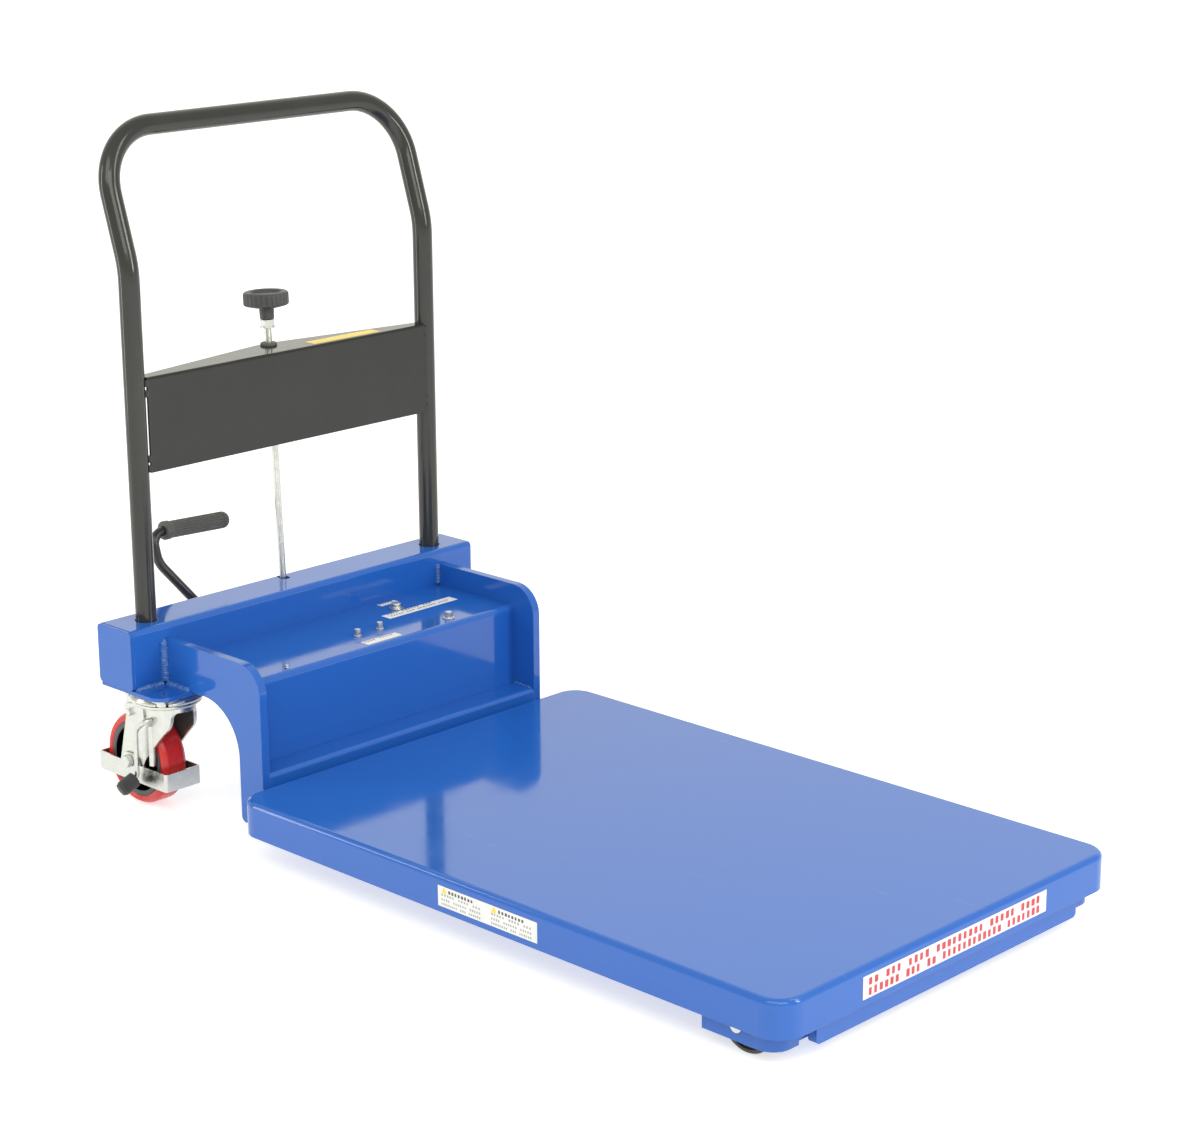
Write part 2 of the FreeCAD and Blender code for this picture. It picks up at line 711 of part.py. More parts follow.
def build_pump():
    low = 96
    back, front = -270, -130
    block = box((front - back, 2 * PUMP_HALF, s.beam_low - low), (back, -PUMP_HALF, low))
    barrel = rod("plunger_radius + 10", 80, (-225, PLUNGER[0], PLUNGER[1]), X_AXIS)
    bore = rod("plunger_radius + running_fit", 76, (-226, PLUNGER[0], PLUNGER[1]), X_AXIS)
    foot = s.beam_low - 18
    valve = rod(s.release_bar / 2 + 0.06, 30, (release_x(foot), 0, foot), RELEASE_AXIS)
    pin_hole = rod(6, 20, (PEDAL_PIVOT[0], -PUMP_HALF - 1, PEDAL_PIVOT[1]))
    finish("pump_block", cut(join(block, barrel), bore, valve, pin_hole))

    tank_long, tank_half, tank_low, tank_high = 50, 45, 98, 178
    tank = [(front, -tank_half), (front + tank_long, -tank_half, 8),
            (front + tank_long, tank_half, 8), (front, tank_half)]
    finish("oil_reservoir", plate(tank_high - tank_low, [tank], "XY_Plane", (0, 0, tank_low)))

    plunger_long = 78
    finish("pump_plunger",
           rod("plunger_radius", plunger_long, (PLUNGER_BACK, PLUNGER[0], PLUNGER[1]), X_AXIS))

    turn = 18
    drop_x, side_y, lug_face = front + 35, PIPE_Y + 60, 30
    finish("oil_pipe",
           bent_bar(4, [(drop_x, PIPE_Y, tank_low), (drop_x, PIPE_Y, PIPE_Z, turn),
                        (12, PIPE_Y, PIPE_Z, turn), (110, side_y, PIPE_Z, turn),
                        (s.cylinder_pivot + 10, side_y, PIPE_Z, turn),
                        (s.cylinder_pivot + 10, lug_face, PIPE_Z)]))


def build_pedal():
    pivot_x, pivot_z = PEDAL_PIVOT
    hub_out, hub_wide = -60, 20
    hub = rod(12, hub_wide, (pivot_x, hub_out, pivot_z))
    hole = rod(6 + s.running_fit, hub_wide + 2, (pivot_x, hub_out - 1, pivot_z))
    finger = box((12, 12, pivot_z - PLUNGER[1]), (pivot_x - 6, PLUNGER[0] - 6, PLUNGER[1]))
    nose = rod(6, 12, (pivot_x, PLUNGER[0] - 6, PLUNGER[1]))
    radius = "pedal_bar / 2"
    grip_end = (-365, -18, 330)
    bar_end = (grip_end[0], grip_end[1] - 8, grip_end[2] + 0.4)
    neck = [(-352, -150, 296), (-361, -152, 337)]
    arm = bent_bar(radius, [(pivot_x - 8, -50, pivot_z), (-300, -62, pivot_z + 8, 24),
                            (-328, -104, 232, 55), (*neck[0], 40), (*neck[1], 18), bar_end])
    finish("pedal_arm", cut(join(hub, finger, nose, arm), hole))

    start = Vector(-362, -132, 336)
    end = Vector(*grip_end)
    along = (end - start).normalize()
    length = (end - start).Length
    outer, collar, collar_long = s.grip_radius, s.grip_radius + 1.2, 9
    outline = [(0, 0), (collar, 0, 1.5), (collar, collar_long, 1.5), (outer, collar_long + 2),
               (outer, length, 9), (0, length)]
    sleeve = turned(outline, tuple(start), along)
    level = along.cross(Z_AXIS).normalize()
    upright = level.cross(along)
    flutes = []
    flute_count, flute_radius, flute_start, flute_tail = 18, 1.3, 13, 12
    for step in range(flute_count):
        angle = 2 * math.pi * step / flute_count
        outward = level * math.cos(angle) + upright * math.sin(angle)
        flutes.append(rod(flute_radius, length - flute_start - flute_tail,
                          tuple(start + along * flute_start + outward * (outer + 0.3)), along))
    finish("pedal_grip", cut(sleeve, bent_bar(radius, [*neck[:1], (*neck[1], 18), bar_end]),
                             *flutes))


def build_release():
    radius = s.release_bar / 2
    foot = s.beam_low - 16
    top = RELEASE_HEAD[1] + 2

    def height(z):
        return (z - foot) / RELEASE_AXIS.z

    washer, washer_low, nut_low, neck_low = 10.5, 613.5, 615, 625
    nut_across, nut_tall = 17, 9.5
    outline = [(0, 0), (radius, 0), (radius, height(washer_low)), (washer, height(washer_low)),
               (washer, height(nut_low)), (radius, height(nut_low)), (radius, height(top)),
               (0, height(top))]
    shaft = turned(outline, (release_x(foot), 0, foot), RELEASE_AXIS)
    nut = hexagon(nut_across, nut_tall, (release_x(nut_low), 0, nut_low), RELEASE_AXIS)
    finish("release_rod", join(shaft, nut))

    knob_foot = 641
    knob_low = height(knob_foot)
    tall, neck, rim, dish = 22, 9.7, 22, 4
    knob = [(radius, height(neck_low)), (neck, height(neck_low), 1.5), (neck + 0.6, knob_low + 1),
            (neck + 6, knob_low, 2), (s.knob_radius, knob_low + 4, 3),
            (s.knob_radius, knob_low + tall, 4), (rim, knob_low + tall, 2),
            (rim - 3, knob_low + tall - dish, 3), (0, knob_low + tall - dish),
            (0, height(top)), (radius, height(top))]
    body = turned(knob, (release_x(foot), 0, foot), RELEASE_AXIS)
    flutes = []
    flute_count, flute_radius = 28, 2
    reach = s.knob_radius + flute_radius * 0.4
    for step in range(flute_count):
        angle = 2 * math.pi * step / flute_count
        foot_at = (release_x(knob_foot) + reach * math.cos(angle), reach * math.sin(angle),
                   knob_foot - 1)
        flutes.append(rod(flute_radius, tall + 8, foot_at, RELEASE_AXIS))
    finish("release_knob", cut(body, *flutes))


# ---------------------------------------------------------------- casters
RACE_RADIUS = 50
PLATE_LOW = MOUNT_LOW - 6
RACE_LOW = PLATE_LOW - 8.5
CROWN_TOP = RACE_LOW - 0.4
KINGPIN = 8
AXLE = 6
FORK_HALF = 26
FORK_SHEET = 4


def fork_shell(x, y):
    """The fork's bent sheet: two legs joined round the front, its lower edge swept up."""
    nose, tail, low, crown_low = 46, -78, 40, CROWN_TOP - 10
    inner = FORK_HALF - FORK_SHEET
    outer_bend, inner_bend = 25.5, 21.5
    outside = [(tail, -FORK_HALF), (nose, -FORK_HALF, outer_bend),
               (nose, FORK_HALF, outer_bend), (tail, FORK_HALF),
               (tail, inner), (nose - FORK_SHEET, inner, inner_bend),
               (nose - FORK_SHEET, -inner, inner_bend), (tail, -inner)]
    shell = plate(CROWN_TOP - 4 - low, [outside], "XY_Plane", (x, y, low))
    sweep = [(nose + 10, low - 10), (nose + 10, crown_low), (36, crown_low, 9), (33, 126, 26),
             (8, 101, 60), (-22, 68, 40), (-30, low + 4, 12), (-30, low - 10)]
    heel = [(tail - 10, low - 10), (-66, low - 10), (-74, 56, 20), (-73, 66, 14),
            (-56, crown_low - 16, 6), (-56, CROWN_TOP + 6), (tail - 10, CROWN_TOP + 6)]
    wide = 2 * FORK_HALF + 4
    tools = [plate(wide, [edge], "XZ_Plane", (x, y + wide / 2, 0)) for edge in (sweep, heel)]
    return cut(shell, *tools)


def build_fork(word, side):
    back, y = s.caster_back, side * s.caster_half
    axle_x, wheel = back - s.caster_trail, s.wheel_radius
    bore = KINGPIN + s.running_fit
    crown_thick, crown_radius = 7, 47
    crown_low = CROWN_TOP - crown_thick
    crown = [(bore, crown_low), (crown_radius - 7, crown_low, 3),
             (crown_radius, CROWN_TOP - 4, 3), (crown_radius, CROWN_TOP), (bore, CROWN_TOP)]
    bridge = plate(crown_thick, [rectangle(-55, -FORK_HALF, 22, FORK_HALF, 3)], "XY_Plane",
                   (back, y, crown_low))
    kingpin_hole = rod(bore, crown_thick + 10, (back, y, crown_low - 5), Z_AXIS)
    pieces = [turned(crown, (back, y, 0)), fork_shell(back, y), cut(bridge, kingpin_hole)]
    axle_half, nut_start, nut_thick, nut_across = 35, 30, 8, 15
    pieces.append(rod(AXLE, 2 * axle_half, (axle_x, y - axle_half, wheel)))
    for out in (1, -1):
        pieces.append(hexagon(nut_across, nut_thick, (axle_x, y + out * nut_start, wheel),
                              Y_AXIS * out))

    # a tab bolted high on the outer leg, and the rib that the brake rod runs beside
    tab_thick, bolt_x, bolt_z = 2.5, -44, 134
    tab = [(-60, 143, 5), (-17, 151, 4), (-15, 126, 8), (-52, 122, 8)]
    pieces.append(plate(tab_thick, [tab], "XZ_Plane",
                        (back, y + facing(side, FORK_HALF, tab_thick), 0)))
    pieces.append(hexagon(9, 5, (back + bolt_x, y + side * (FORK_HALF + tab_thick), bolt_z),
                          Y_AXIS * side))
    rib_radius, rib_x, rib_low, rib_long = 5, -6, 66, 56
    pieces.append(rod(rib_radius, rib_long,
                      (back + rib_x, y + side * (FORK_HALF - 2), rib_low), Z_AXIS))
    finish(f"caster_fork_{word}", join(*pieces))


def build_toe_guard(word, side):
    """A band round the wheel with an eye over the axle on each side."""
    back, y = s.caster_back, side * s.caster_half
    axle_x = back - s.caster_trail
    guard_low, band, bend = 36, 2.5, 4.5
    eye_half, eye_top, eye_bend = 20, 74, 14
    centre = back - 46
    half_long, half_wide = s.guard_long / 2, s.guard_wide / 2
    ring = plate("guard_tall",
                 [rectangle(centre - half_long, y - half_wide, centre + half_long,
                            y + half_wide, bend),
                  rectangle(centre - half_long + band, y - half_wide + band,
                            centre + half_long - band, y + half_wide - band, bend - band)],
                 "XY_Plane", (0, 0, guard_low))
    eye = [(-eye_half, guard_low + 4), (eye_half, guard_low + 4),
           (eye_half, eye_top, eye_bend), (-eye_half, eye_top, eye_bend)]
    eyes = []
    for out in (1, -1):
        inner = half_wide - band if out > 0 else -half_wide
        eyes.append(plate(band, [eye], "XZ_Plane", (axle_x, y + inner + band, 0)))
    hole = rod(AXLE, s.guard_wide + 20, (axle_x, y - half_wide - 10, s.wheel_radius))
    finish(f"toe_guard_{word}", cut(join(ring, *eyes), hole))


def build_wheel(word, side):
    """A core with a recessed web, and the tread round it."""
    centre = (s.caster_back - s.caster_trail, side * s.caster_half, s.wheel_radius)
    wheel, half = s.wheel_radius, s.wheel_wide / 2
    tread_thick, hub, web = 11, 14, 9
    rim = wheel - tread_thick
    bore = AXLE + s.running_fit
    core = [(bore, -half - 1), (hub, -half - 1, 1), (hub + 3, web - half, 3),
            (rim - 9, web - half, 4), (rim - 6, 1 - half), (rim, 1 - half),
            (rim, half - 1), (rim - 6, half - 1), (rim - 9, half - web, 4),
            (hub + 3, half - web, 3), (hub, half + 1, 1), (bore, half + 1)]
    finish(f"wheel_core_{word}", turned(core, centre, Y_AXIS))
    tread = [(rim, -half + 1), (rim + 2, -half), (wheel - 4, -half, 1.5), (wheel, -half + 6, 7),
             (wheel, half - 6, 7), (wheel - 4, half, 1.5), (rim + 2, half), (rim, half - 1)]
    finish(f"wheel_tread_{word}", turned(tread, centre, Y_AXIS))


def build_brake(word, side):
    """A bent rod from the outer fork leg down to a rubber foot pad."""
    back, y = s.caster_back, side * s.caster_half
    radius, hinge_z = 3.2, 132
    start, far = FORK_HALF + 0.5, 37
    arm = bent_bar(radius, [(back - 2, y + side * start, hinge_z),
                            (back - 2, y + side * far, hinge_z, 10),
                            (back - 23, y + side * far, 115, 16),
                            (back - 25, y + side * far, 48, 9),
                            (back - 28, y + side * 61, 36)])
    pad_start = Vector(back - 25.6, y + side * 40, 46)
    pad_along = (Vector(back - 28, y + side * 62, 35.5) - pad_start).normalize()
    pad_radius, pad_long = 9.5, 25
    pad = turned([(0, 0), (pad_radius, 0, 2), (pad_radius, pad_long, 3), (0, pad_long)],
                 tuple(pad_start), pad_along)
    finish(f"brake_lever_{word}", join(arm, pad))


def build_casters():
    bolts = []
    bolt, head_across, head_tall = 4, 13, 6
    for word, side in SIDES:
        back, y = s.caster_back, side * s.caster_half
        half = 44
        spots = caster_bolt_spots(side)
        top_plate = plate(MOUNT_LOW - PLATE_LOW,
                          [rectangle(back - half, y - half, back + half, y + half, 10)],
                          "XY_Plane", (0, 0, PLATE_LOW),
                          holes=[(x, bolt_y, BOLT_HOLE) for x, bolt_y in spots])
        pin_low, bolt_clear = CROWN_TOP - 26, 8.5
        race = [(0, pin_low), (KINGPIN, pin_low), (KINGPIN, RACE_LOW),
                (RACE_RADIUS - 6, RACE_LOW), (RACE_RADIUS - 1, RACE_LOW + 1, 1),
                (RACE_RADIUS, RACE_LOW + 4, 2), (RACE_RADIUS - 3, PLATE_LOW), (0, PLATE_LOW)]
        seats = [rod(bolt_clear, PLATE_LOW - RACE_LOW + 2, (x, bolt_y, RACE_LOW - 1), Z_AXIS)
                 for x, bolt_y in spots]
        finish(f"caster_plate_{word}",
               join(top_plate, cut(turned(race, (back, y, 0)), *seats)))
        build_fork(word, side)
        build_toe_guard(word, side)
        build_wheel(word, side)
        build_brake(word, side)
        for x, bolt_y in spots:
            shank = rod(bolt, s.beam_low - PLATE_LOW, (x, bolt_y, PLATE_LOW), Z_AXIS)
            head = hexagon(head_across, head_tall, (x, bolt_y, PLATE_LOW - head_tall))
            bolts.append(join(shank, head))
    finish("caster_bolts", group(*bolts))


# ---------------------------------------------------------------- load rollers, pins, labels
def build_rollers_and_pins():
    axle_x, axle_z = ROLLER_AXLE
    roller_out = 285
    wide = s.load_roller_wide
    for word, side in SIDES:
        outline = [(6 + s.running_fit, 0), (12, 0), (13, 3), (s.load_roller - 6, 3, 2),
                   (s.load_roller - 5, 0), (s.load_roller, 0, 2.5),
                   (s.load_roller, wide, 2.5), (s.load_roller - 5, wide),
                   (s.load_roller - 6, wide - 3, 2), (13, wide - 3), (12, wide),
                   (6 + s.running_fit, wide)]
        finish(f"load_roller_{word}",
               turned(outline, (axle_x, side * (roller_out - wide), axle_z), Y_AXIS * side))

    pins = []
    web_in = s.rail_out - s.rail_web
    for _, side in SIDES:
        outward = Y_AXIS * side
        inside = OUTER_LEG_IN - 1
        shank = rod("leg_pin", s.rail_out - inside, (s.pivot_back, side * inside, s.pivot_low),
                    outward)
        inner_head = rod("leg_pin + 4", 4, (s.pivot_back, side * (inside - 4), s.pivot_low),
                         outward)
        outer_head = rod("leg_pin + 4", 5, (s.pivot_back, side * s.rail_out, s.pivot_low),
                         outward)
        pins.append(join(shank, inner_head, outer_head))
        axle_end = 299
        axle = rod(6, axle_end - web_in, (axle_x, side * web_in, axle_z), outward)
        head = rod(8, 4, (axle_x, side * axle_end, axle_z), outward)
        pins.append(join(axle, head))
    cylinder_reach = 34
    cylinder_pin = rod(7, 2 * cylinder_reach, (s.cylinder_pivot, -cylinder_reach, s.pivot_low))
    pins.append(cylinder_pin)
    pedal_shank = rod(6, 44, (PEDAL_PIVOT[0], -62, PEDAL_PIVOT[1]))
    pedal_head = rod(9, 5, (PEDAL_PIVOT[0], -67, PEDAL_PIVOT[1]))
    pins.append(join(pedal_shank, pedal_head))
    finish("base_pins", group(*pins))


def build_labels():
    """Blank label plates: thin stickers that stand 0.3 mm proud."""
    thin = 0.3
    low = s.deck_high - 38.5
    half_deck = s.deck_wide / 2
    deck_labels = [
        box((167, thin, 26), (378, -half_deck - thin, low)),
        box((thin, 344, 27.5), (s.deck_long, -173, low)),
    ]
    finish("deck_labels", group(*deck_labels))
    base_labels = [
        box((18, 129, thin), (-151, 79, COVER_TOP)),
        box((10, 32, thin), (-196, 111, COVER_TOP)),
        box((15, 62, thin), (-80, -22, COVER_TOP)),
    ]
    finish("base_labels", group(*base_labels))
    finish("panel_label", box((20, 121, thin), (-257, 46, s.panel_high)))


build_deck()
build_legs()
build_cylinder()
build_rails()
build_side_plates()
build_brackets()
build_beam()
build_handle()
build_covers()
build_pump()
build_pedal()
build_release()
build_casters()
build_rollers_and_pins()
build_labels()

# ---------------------------------------------------------------- checks and export
doc.recompute()
for thing in doc.Objects:
    if "Invalid" in thing.State or "Error" in thing.State:
        raise RuntimeError(f"{thing.Name} ({thing.Label}) did not compute: {thing.State}")
for name, piece in finished.items():
    if piece.Shape.isNull() or not piece.Shape.isValid() or not piece.Shape.Solids:
        raise RuntimeError(f"{name} has no sound shape")
whole = FreeCAD.BoundBox()
for name, piece in finished.items():
    whole.add(piece.Shape.BoundBox)
    piece.Shape.exportStep(f"parts/{name}.step")
print(len(finished), "pieces, whole size", whole)
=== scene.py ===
"""Looks of the scissor-lift platform cart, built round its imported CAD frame.

The frame is in metres: +X from the push handle to the deck's front, +Y left, +Z up. Places on
the cart are in millimetres from the deck's rear edge, the middle plane and the floor. The camera
and the lamps stay in the frame's metres.
"""

import json
import math
import random

import bmesh
import bpy
from mathutils import Matrix, Vector


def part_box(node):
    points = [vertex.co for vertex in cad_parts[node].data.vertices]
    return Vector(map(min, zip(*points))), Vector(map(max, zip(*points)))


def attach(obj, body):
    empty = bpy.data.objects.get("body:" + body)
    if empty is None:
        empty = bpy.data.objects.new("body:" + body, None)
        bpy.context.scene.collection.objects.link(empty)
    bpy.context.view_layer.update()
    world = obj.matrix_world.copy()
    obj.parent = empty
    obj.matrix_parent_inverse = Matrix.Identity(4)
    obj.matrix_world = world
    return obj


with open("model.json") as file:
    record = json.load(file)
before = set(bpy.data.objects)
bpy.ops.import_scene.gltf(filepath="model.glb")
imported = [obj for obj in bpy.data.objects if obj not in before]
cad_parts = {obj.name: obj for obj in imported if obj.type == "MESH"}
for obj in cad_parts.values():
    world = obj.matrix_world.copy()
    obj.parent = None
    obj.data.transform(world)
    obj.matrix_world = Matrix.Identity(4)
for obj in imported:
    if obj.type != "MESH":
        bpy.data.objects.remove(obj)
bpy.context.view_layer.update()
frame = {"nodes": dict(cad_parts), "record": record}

MM = 0.001
SIDES = (("left", 1), ("right", -1))
FACES = (1, -1)
AHEAD, LEFT, UP = Vector((1, 0, 0)), Vector((0, 1, 0)), Vector((0, 0, 1))
DECK_TO_MIDDLE = round(-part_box("deck_platform")[0].x / MM, 1)


def at(x, y, z):
    """The frame's point for a place on the cart."""
    return Vector((x - DECK_TO_MIDDLE, y, z)) * MM


def corners(node):
    """A CAD node's lowest and highest corner as places on the cart, to a tenth of a millimetre."""
    shift = (DECK_TO_MIDDLE, 0, 0)
    return [tuple(round(value / MM + moved, 1) for value, moved in zip(corner, shift))
            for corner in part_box(node)]


def middle(node):
    """The middle of a CAD node's box as a place on the cart."""
    return [(low + high) / 2 for low, high in zip(*corners(node))]


# ---------------------------------------------------------------- node materials
MIX_FIRST, MIX_SECOND, MIX_RESULT = 6, 7, 2  # a Mix node's colour sockets


class Shader:
    """A Principled material with short calls for the procedural nodes that feed it."""

    def __init__(self, name, colour, roughness, **settings):
        self.material = bpy.data.materials.new(name)
        self.material.use_nodes = True
        self.material.diffuse_color = (*colour, 1)
        self.tree = self.material.node_tree
        self.bsdf = self.tree.nodes["Principled BSDF"]
        self.bsdf.inputs["Base Color"].default_value = (*colour, 1)
        self.bsdf.inputs["Roughness"].default_value = roughness
        for socket, value in settings.items():
            self.bsdf.inputs[socket.replace("_", " ")].default_value = value
        self.normal = None

    def node(self, kind, **settings):
        made = self.tree.nodes.new("ShaderNode" + kind)
        for key, value in settings.items():
            setattr(made, key, value)
        return made

    def link(self, output, socket):
        self.tree.links.new(output, socket)

    def place(self, stretch):
        """Object coordinates, stretched along the axes."""
        coords = self.node("TexCoord")
        mapping = self.node("Mapping")
        mapping.inputs["Scale"].default_value = stretch
        self.link(coords.outputs["Object"], mapping.inputs["Vector"])
        return mapping.outputs["Vector"]

    def noise(self, scale, detail=3, stretch=(1, 1, 1), rough=0.55):
        made = self.node("TexNoise")
        made.inputs["Scale"].default_value = scale
        made.inputs["Detail"].default_value = detail
        made.inputs["Roughness"].default_value = rough
        self.link(self.place(stretch), made.inputs["Vector"])
        return made.outputs["Fac"]

    def spread(self, value, low, high, to_low=0, to_high=1):
        """Stretches a value from low..high to another range, clamped."""
        made = self.node("MapRange")
        made.inputs["From Min"].default_value = low
        made.inputs["From Max"].default_value = high
        made.inputs["To Min"].default_value = to_low
        made.inputs["To Max"].default_value = to_high
        self.link(value, made.inputs["Value"])
        return made.outputs["Result"]

    def multiply(self, first, second):
        made = self.node("Math", operation="MULTIPLY")
        self.link(first, made.inputs[0])
        self.link(second, made.inputs[1])
        return made.outputs[0]

    def tint(self, mask, colour):
        """Mixes a colour over the base colour where the mask is high."""
        made = self.node("Mix", data_type="RGBA")
        target = self.bsdf.inputs["Base Color"]
        if target.is_linked:
            self.link(target.links[0].from_socket, made.inputs[MIX_FIRST])
        else:
            made.inputs[MIX_FIRST].default_value = target.default_value
        made.inputs[MIX_SECOND].default_value = (*colour, 1)
        self.link(mask, made.inputs[0])
        self.link(made.outputs[MIX_RESULT], target)

    def vary_roughness(self, value, to_low, to_high):
        """Lets a noise value carry the roughness from one limit to the other."""
        self.link(self.spread(value, 0.3, 0.7, to_low, to_high), self.bsdf.inputs["Roughness"])

    def bump(self, value, depth, strength=1.0):
        """Adds a layer of relief, with its depth in metres."""
        made = self.node("Bump")
        made.inputs["Distance"].default_value = depth
        made.inputs["Strength"].default_value = strength
        self.link(value, made.inputs["Height"])
        if self.normal:
            self.link(self.normal, made.inputs["Normal"])
        self.normal = made.outputs["Normal"]
        self.link(self.normal, self.bsdf.inputs["Normal"])

    def round_edges(self, radius):
        """Softens the sharp edges of plain meshes in the shading; comes before the bumps."""
        made = self.node("Bevel", samples=6)
        made.inputs["Radius"].default_value = radius
        self.normal = made.outputs["Normal"]
        self.link(self.normal, self.bsdf.inputs["Normal"])
        return made.outputs["Normal"]

    def edge_mask(self, rounded):
        """High where the softened normal leaves the face's own normal, so along edges."""
        flat = self.node("NewGeometry")
        dot = self.node("VectorMath", operation="DOT_PRODUCT")
        self.link(rounded, dot.inputs[0])
        self.link(flat.outputs["Normal"], dot.inputs[1])
        return self.spread(dot.outputs["Value"], 1.0, 0.8)


def blue_paint(name, marks=0.0):
    """Gloss powder coat with orange peel, faint waviness and slightly thin, paler edges."""
    made = Shader(name, (0.016, 0.105, 0.44), 0.1, IOR=1.5)
    rounded = made.round_edges(1.2 * MM)
    made.tint(made.spread(made.noise(7, 2), 0.35, 0.7, 0, 0.3), (0.017, 0.108, 0.45))
    edges = made.edge_mask(rounded)
    worn = made.spread(made.noise(60), 0.4, 0.65)
    made.tint(made.multiply(edges, worn), (0.08, 0.19, 0.52))
    made.vary_roughness(made.noise(30, 4), 0.06, 0.12)
    made.bump(made.noise(420, 2), 0.012 * MM, 0.4)
    made.bump(made.noise(9, 2), 0.25 * MM, 0.3)
    if marks:
        scuffs = made.spread(made.noise(26, 5, (0.35, 1.8, 1), 0.65), 0.66, 0.78)
        patches = made.spread(made.noise(4, 1), 0.45, 0.7, 0, marks)
        made.tint(made.multiply(scuffs, patches), (0.22, 0.30, 0.52))
    return made.material


def dark_paint(name, colour, roughness, gloss=1.5, waves=0.3):
    """Gloss dark powder coat, a little wavy; gloss is its index of refraction."""
    made = Shader(name, colour, roughness, IOR=gloss)
    made.round_edges(1.0 * MM)
    brighter = tuple(1.35 * c for c in colour)
    made.tint(made.spread(made.noise(9), 0.4, 0.7, 0, 0.6), brighter)
    made.vary_roughness(made.noise(45, 4), roughness - 0.05, roughness + 0.07)
    made.bump(made.noise(480, 2), 0.02 * MM, 0.6)
    made.bump(made.noise(14, 2), 0.2 * MM, waves)
    return made.material


def zinc_plate(name):
    """Bright zinc with a cloudy passivated film, bluish in places and yellowish in others."""
    roughness = 0.28
    made = Shader(name, (0.60, 0.61, 0.58), roughness, Metallic=1.0)
    made.round_edges(0.5 * MM)
    made.tint(made.spread(made.noise(55, 4), 0.45, 0.65, 0, 0.25), (0.50, 0.53, 0.56))
    made.tint(made.spread(made.noise(23), 0.55, 0.75, 0, 0.2), (0.60, 0.57, 0.46))
    made.vary_roughness(made.noise(90, 4), roughness - 0.08, roughness + 0.14)
    made.bump(made.noise(700), 0.012 * MM, 0.5)
    return made.material


def weld_metal(name):
    """A painted-over weld: blue paint, paler where it is thin, with dark spatter."""
    made = Shader(name, (0.02, 0.12, 0.44), 0.16, IOR=1.6)
    made.tint(made.spread(made.noise(260, 4), 0.6, 0.68), (0.16, 0.3, 0.56))
    made.tint(made.spread(made.noise(420), 0.62, 0.68), (0.1, 0.1, 0.12))
    made.vary_roughness(made.noise(300), 0.08, 0.3)
    made.bump(made.noise(420), 0.4 * MM, 0.9)
    return made.material


def steel(name, colour, roughness):
    """Turned bare steel with fine rings and a film of oil."""
    made = Shader(name, colour, roughness, Metallic=1.0)
    made.tint(made.spread(made.noise(40, 4), 0.5, 0.72, 0, 0.6), (0.25, 0.22, 0.19))
    made.vary_roughness(made.noise(160), roughness - 0.1, roughness + 0.12)
    made.bump(made.noise(900, 2, (0.2, 1, 1)), 0.01 * MM, 0.5)
    return made.material


def moulded(name, colour, roughness, grain=0.03, grain_scale=900):
    """Moulded plastic, urethane or rubber: fine grain, dust and a little wear."""
    made = Shader(name, colour, roughness, IOR=1.48)
    made.round_edges(0.5 * MM)
    dusty = tuple(0.8 * c + 0.05 for c in colour)
    made.tint(made.spread(made.noise(30, 5), 0.5, 0.75, 0, 0.35), dusty)
    made.vary_roughness(made.noise(70, 4), roughness - 0.07, roughness + 0.12)
    made.bump(made.noise(grain_scale), grain * MM, 0.7)
    return made.material


def film(name, colour):
    """A printed vinyl label, or the ink on it."""
    made = Shader(name, colour, 0.35, IOR=1.46)
    darker = tuple(0.9 * c for c in colour)
    made.tint(made.spread(made.noise(40), 0.45, 0.7, 0, 0.5), darker)
    made.vary_roughness(made.noise(60), 0.28, 0.42)
    made.bump(made.noise(300, 2), 0.01 * MM, 0.4)
    return made.material


MATERIALS = {
    "frame_paint": blue_paint("frame_paint"),
    "deck_paint": blue_paint("deck_paint", marks=0.35),
    "handle_paint": dark_paint("handle_paint", (0.022, 0.022, 0.021), 0.13, gloss=1.48, waves=0.5),
    # The handle's paint once more with a darker colour: painted shade, so the panel looks as dark as
    # it does under these lamps
    "panel_shaded_paint": dark_paint("panel_shaded_paint", (0.014, 0.014, 0.0137), 0.13, gloss=1.45, waves=0.06),
    "pedal_paint": dark_paint("pedal_paint", (0.018, 0.018, 0.02), 0.22),
    "pump_paint": dark_paint("pump_paint", (0.03, 0.03, 0.032), 0.35),
    "weld": weld_metal("weld"),
    "zinc": zinc_plate("zinc"),
    "polished_rod": steel("polished_rod", (0.66, 0.66, 0.68), 0.16),
    "roller_steel": steel("roller_steel", (0.5, 0.5, 0.5), 0.3),
    "black_plastic": moulded("black_plastic", (0.045, 0.045, 0.046), 0.42),
    "black_rubber": moulded("black_rubber", (0.085, 0.085, 0.083), 0.55, grain=0.05, grain_scale=700),
    "pad_rubber": moulded("pad_rubber", (0.03, 0.03, 0.03), 0.5, grain=0.05, grain_scale=700),
    "grey_ring": moulded("grey_ring", (0.06, 0.062, 0.064), 0.4),
    "red_tread": moulded("red_tread", (0.55, 0.022, 0.02), 0.24, grain=0.015, grain_scale=500),
    "label_white": film("label_white", (0.72, 0.72, 0.72)),
    "label_yellow": film("label_yellow", (0.8, 0.6, 0.07)),
    "print_red": film("print_red", (0.5, 0.035, 0.06)),
    "print_grey": film("print_grey", (0.33, 0.33, 0.34)),
    "print_black": film("print_black", (0.05, 0.05, 0.05)),
}
SLOT_MATERIAL = {"brake_zinc": "zinc"}
# The handle panel takes the darker copy of the handle's paint, which is painted shade
NODE_MATERIAL = {"deck_platform": "deck_paint", "handle_panel": "panel_shaded_paint"}


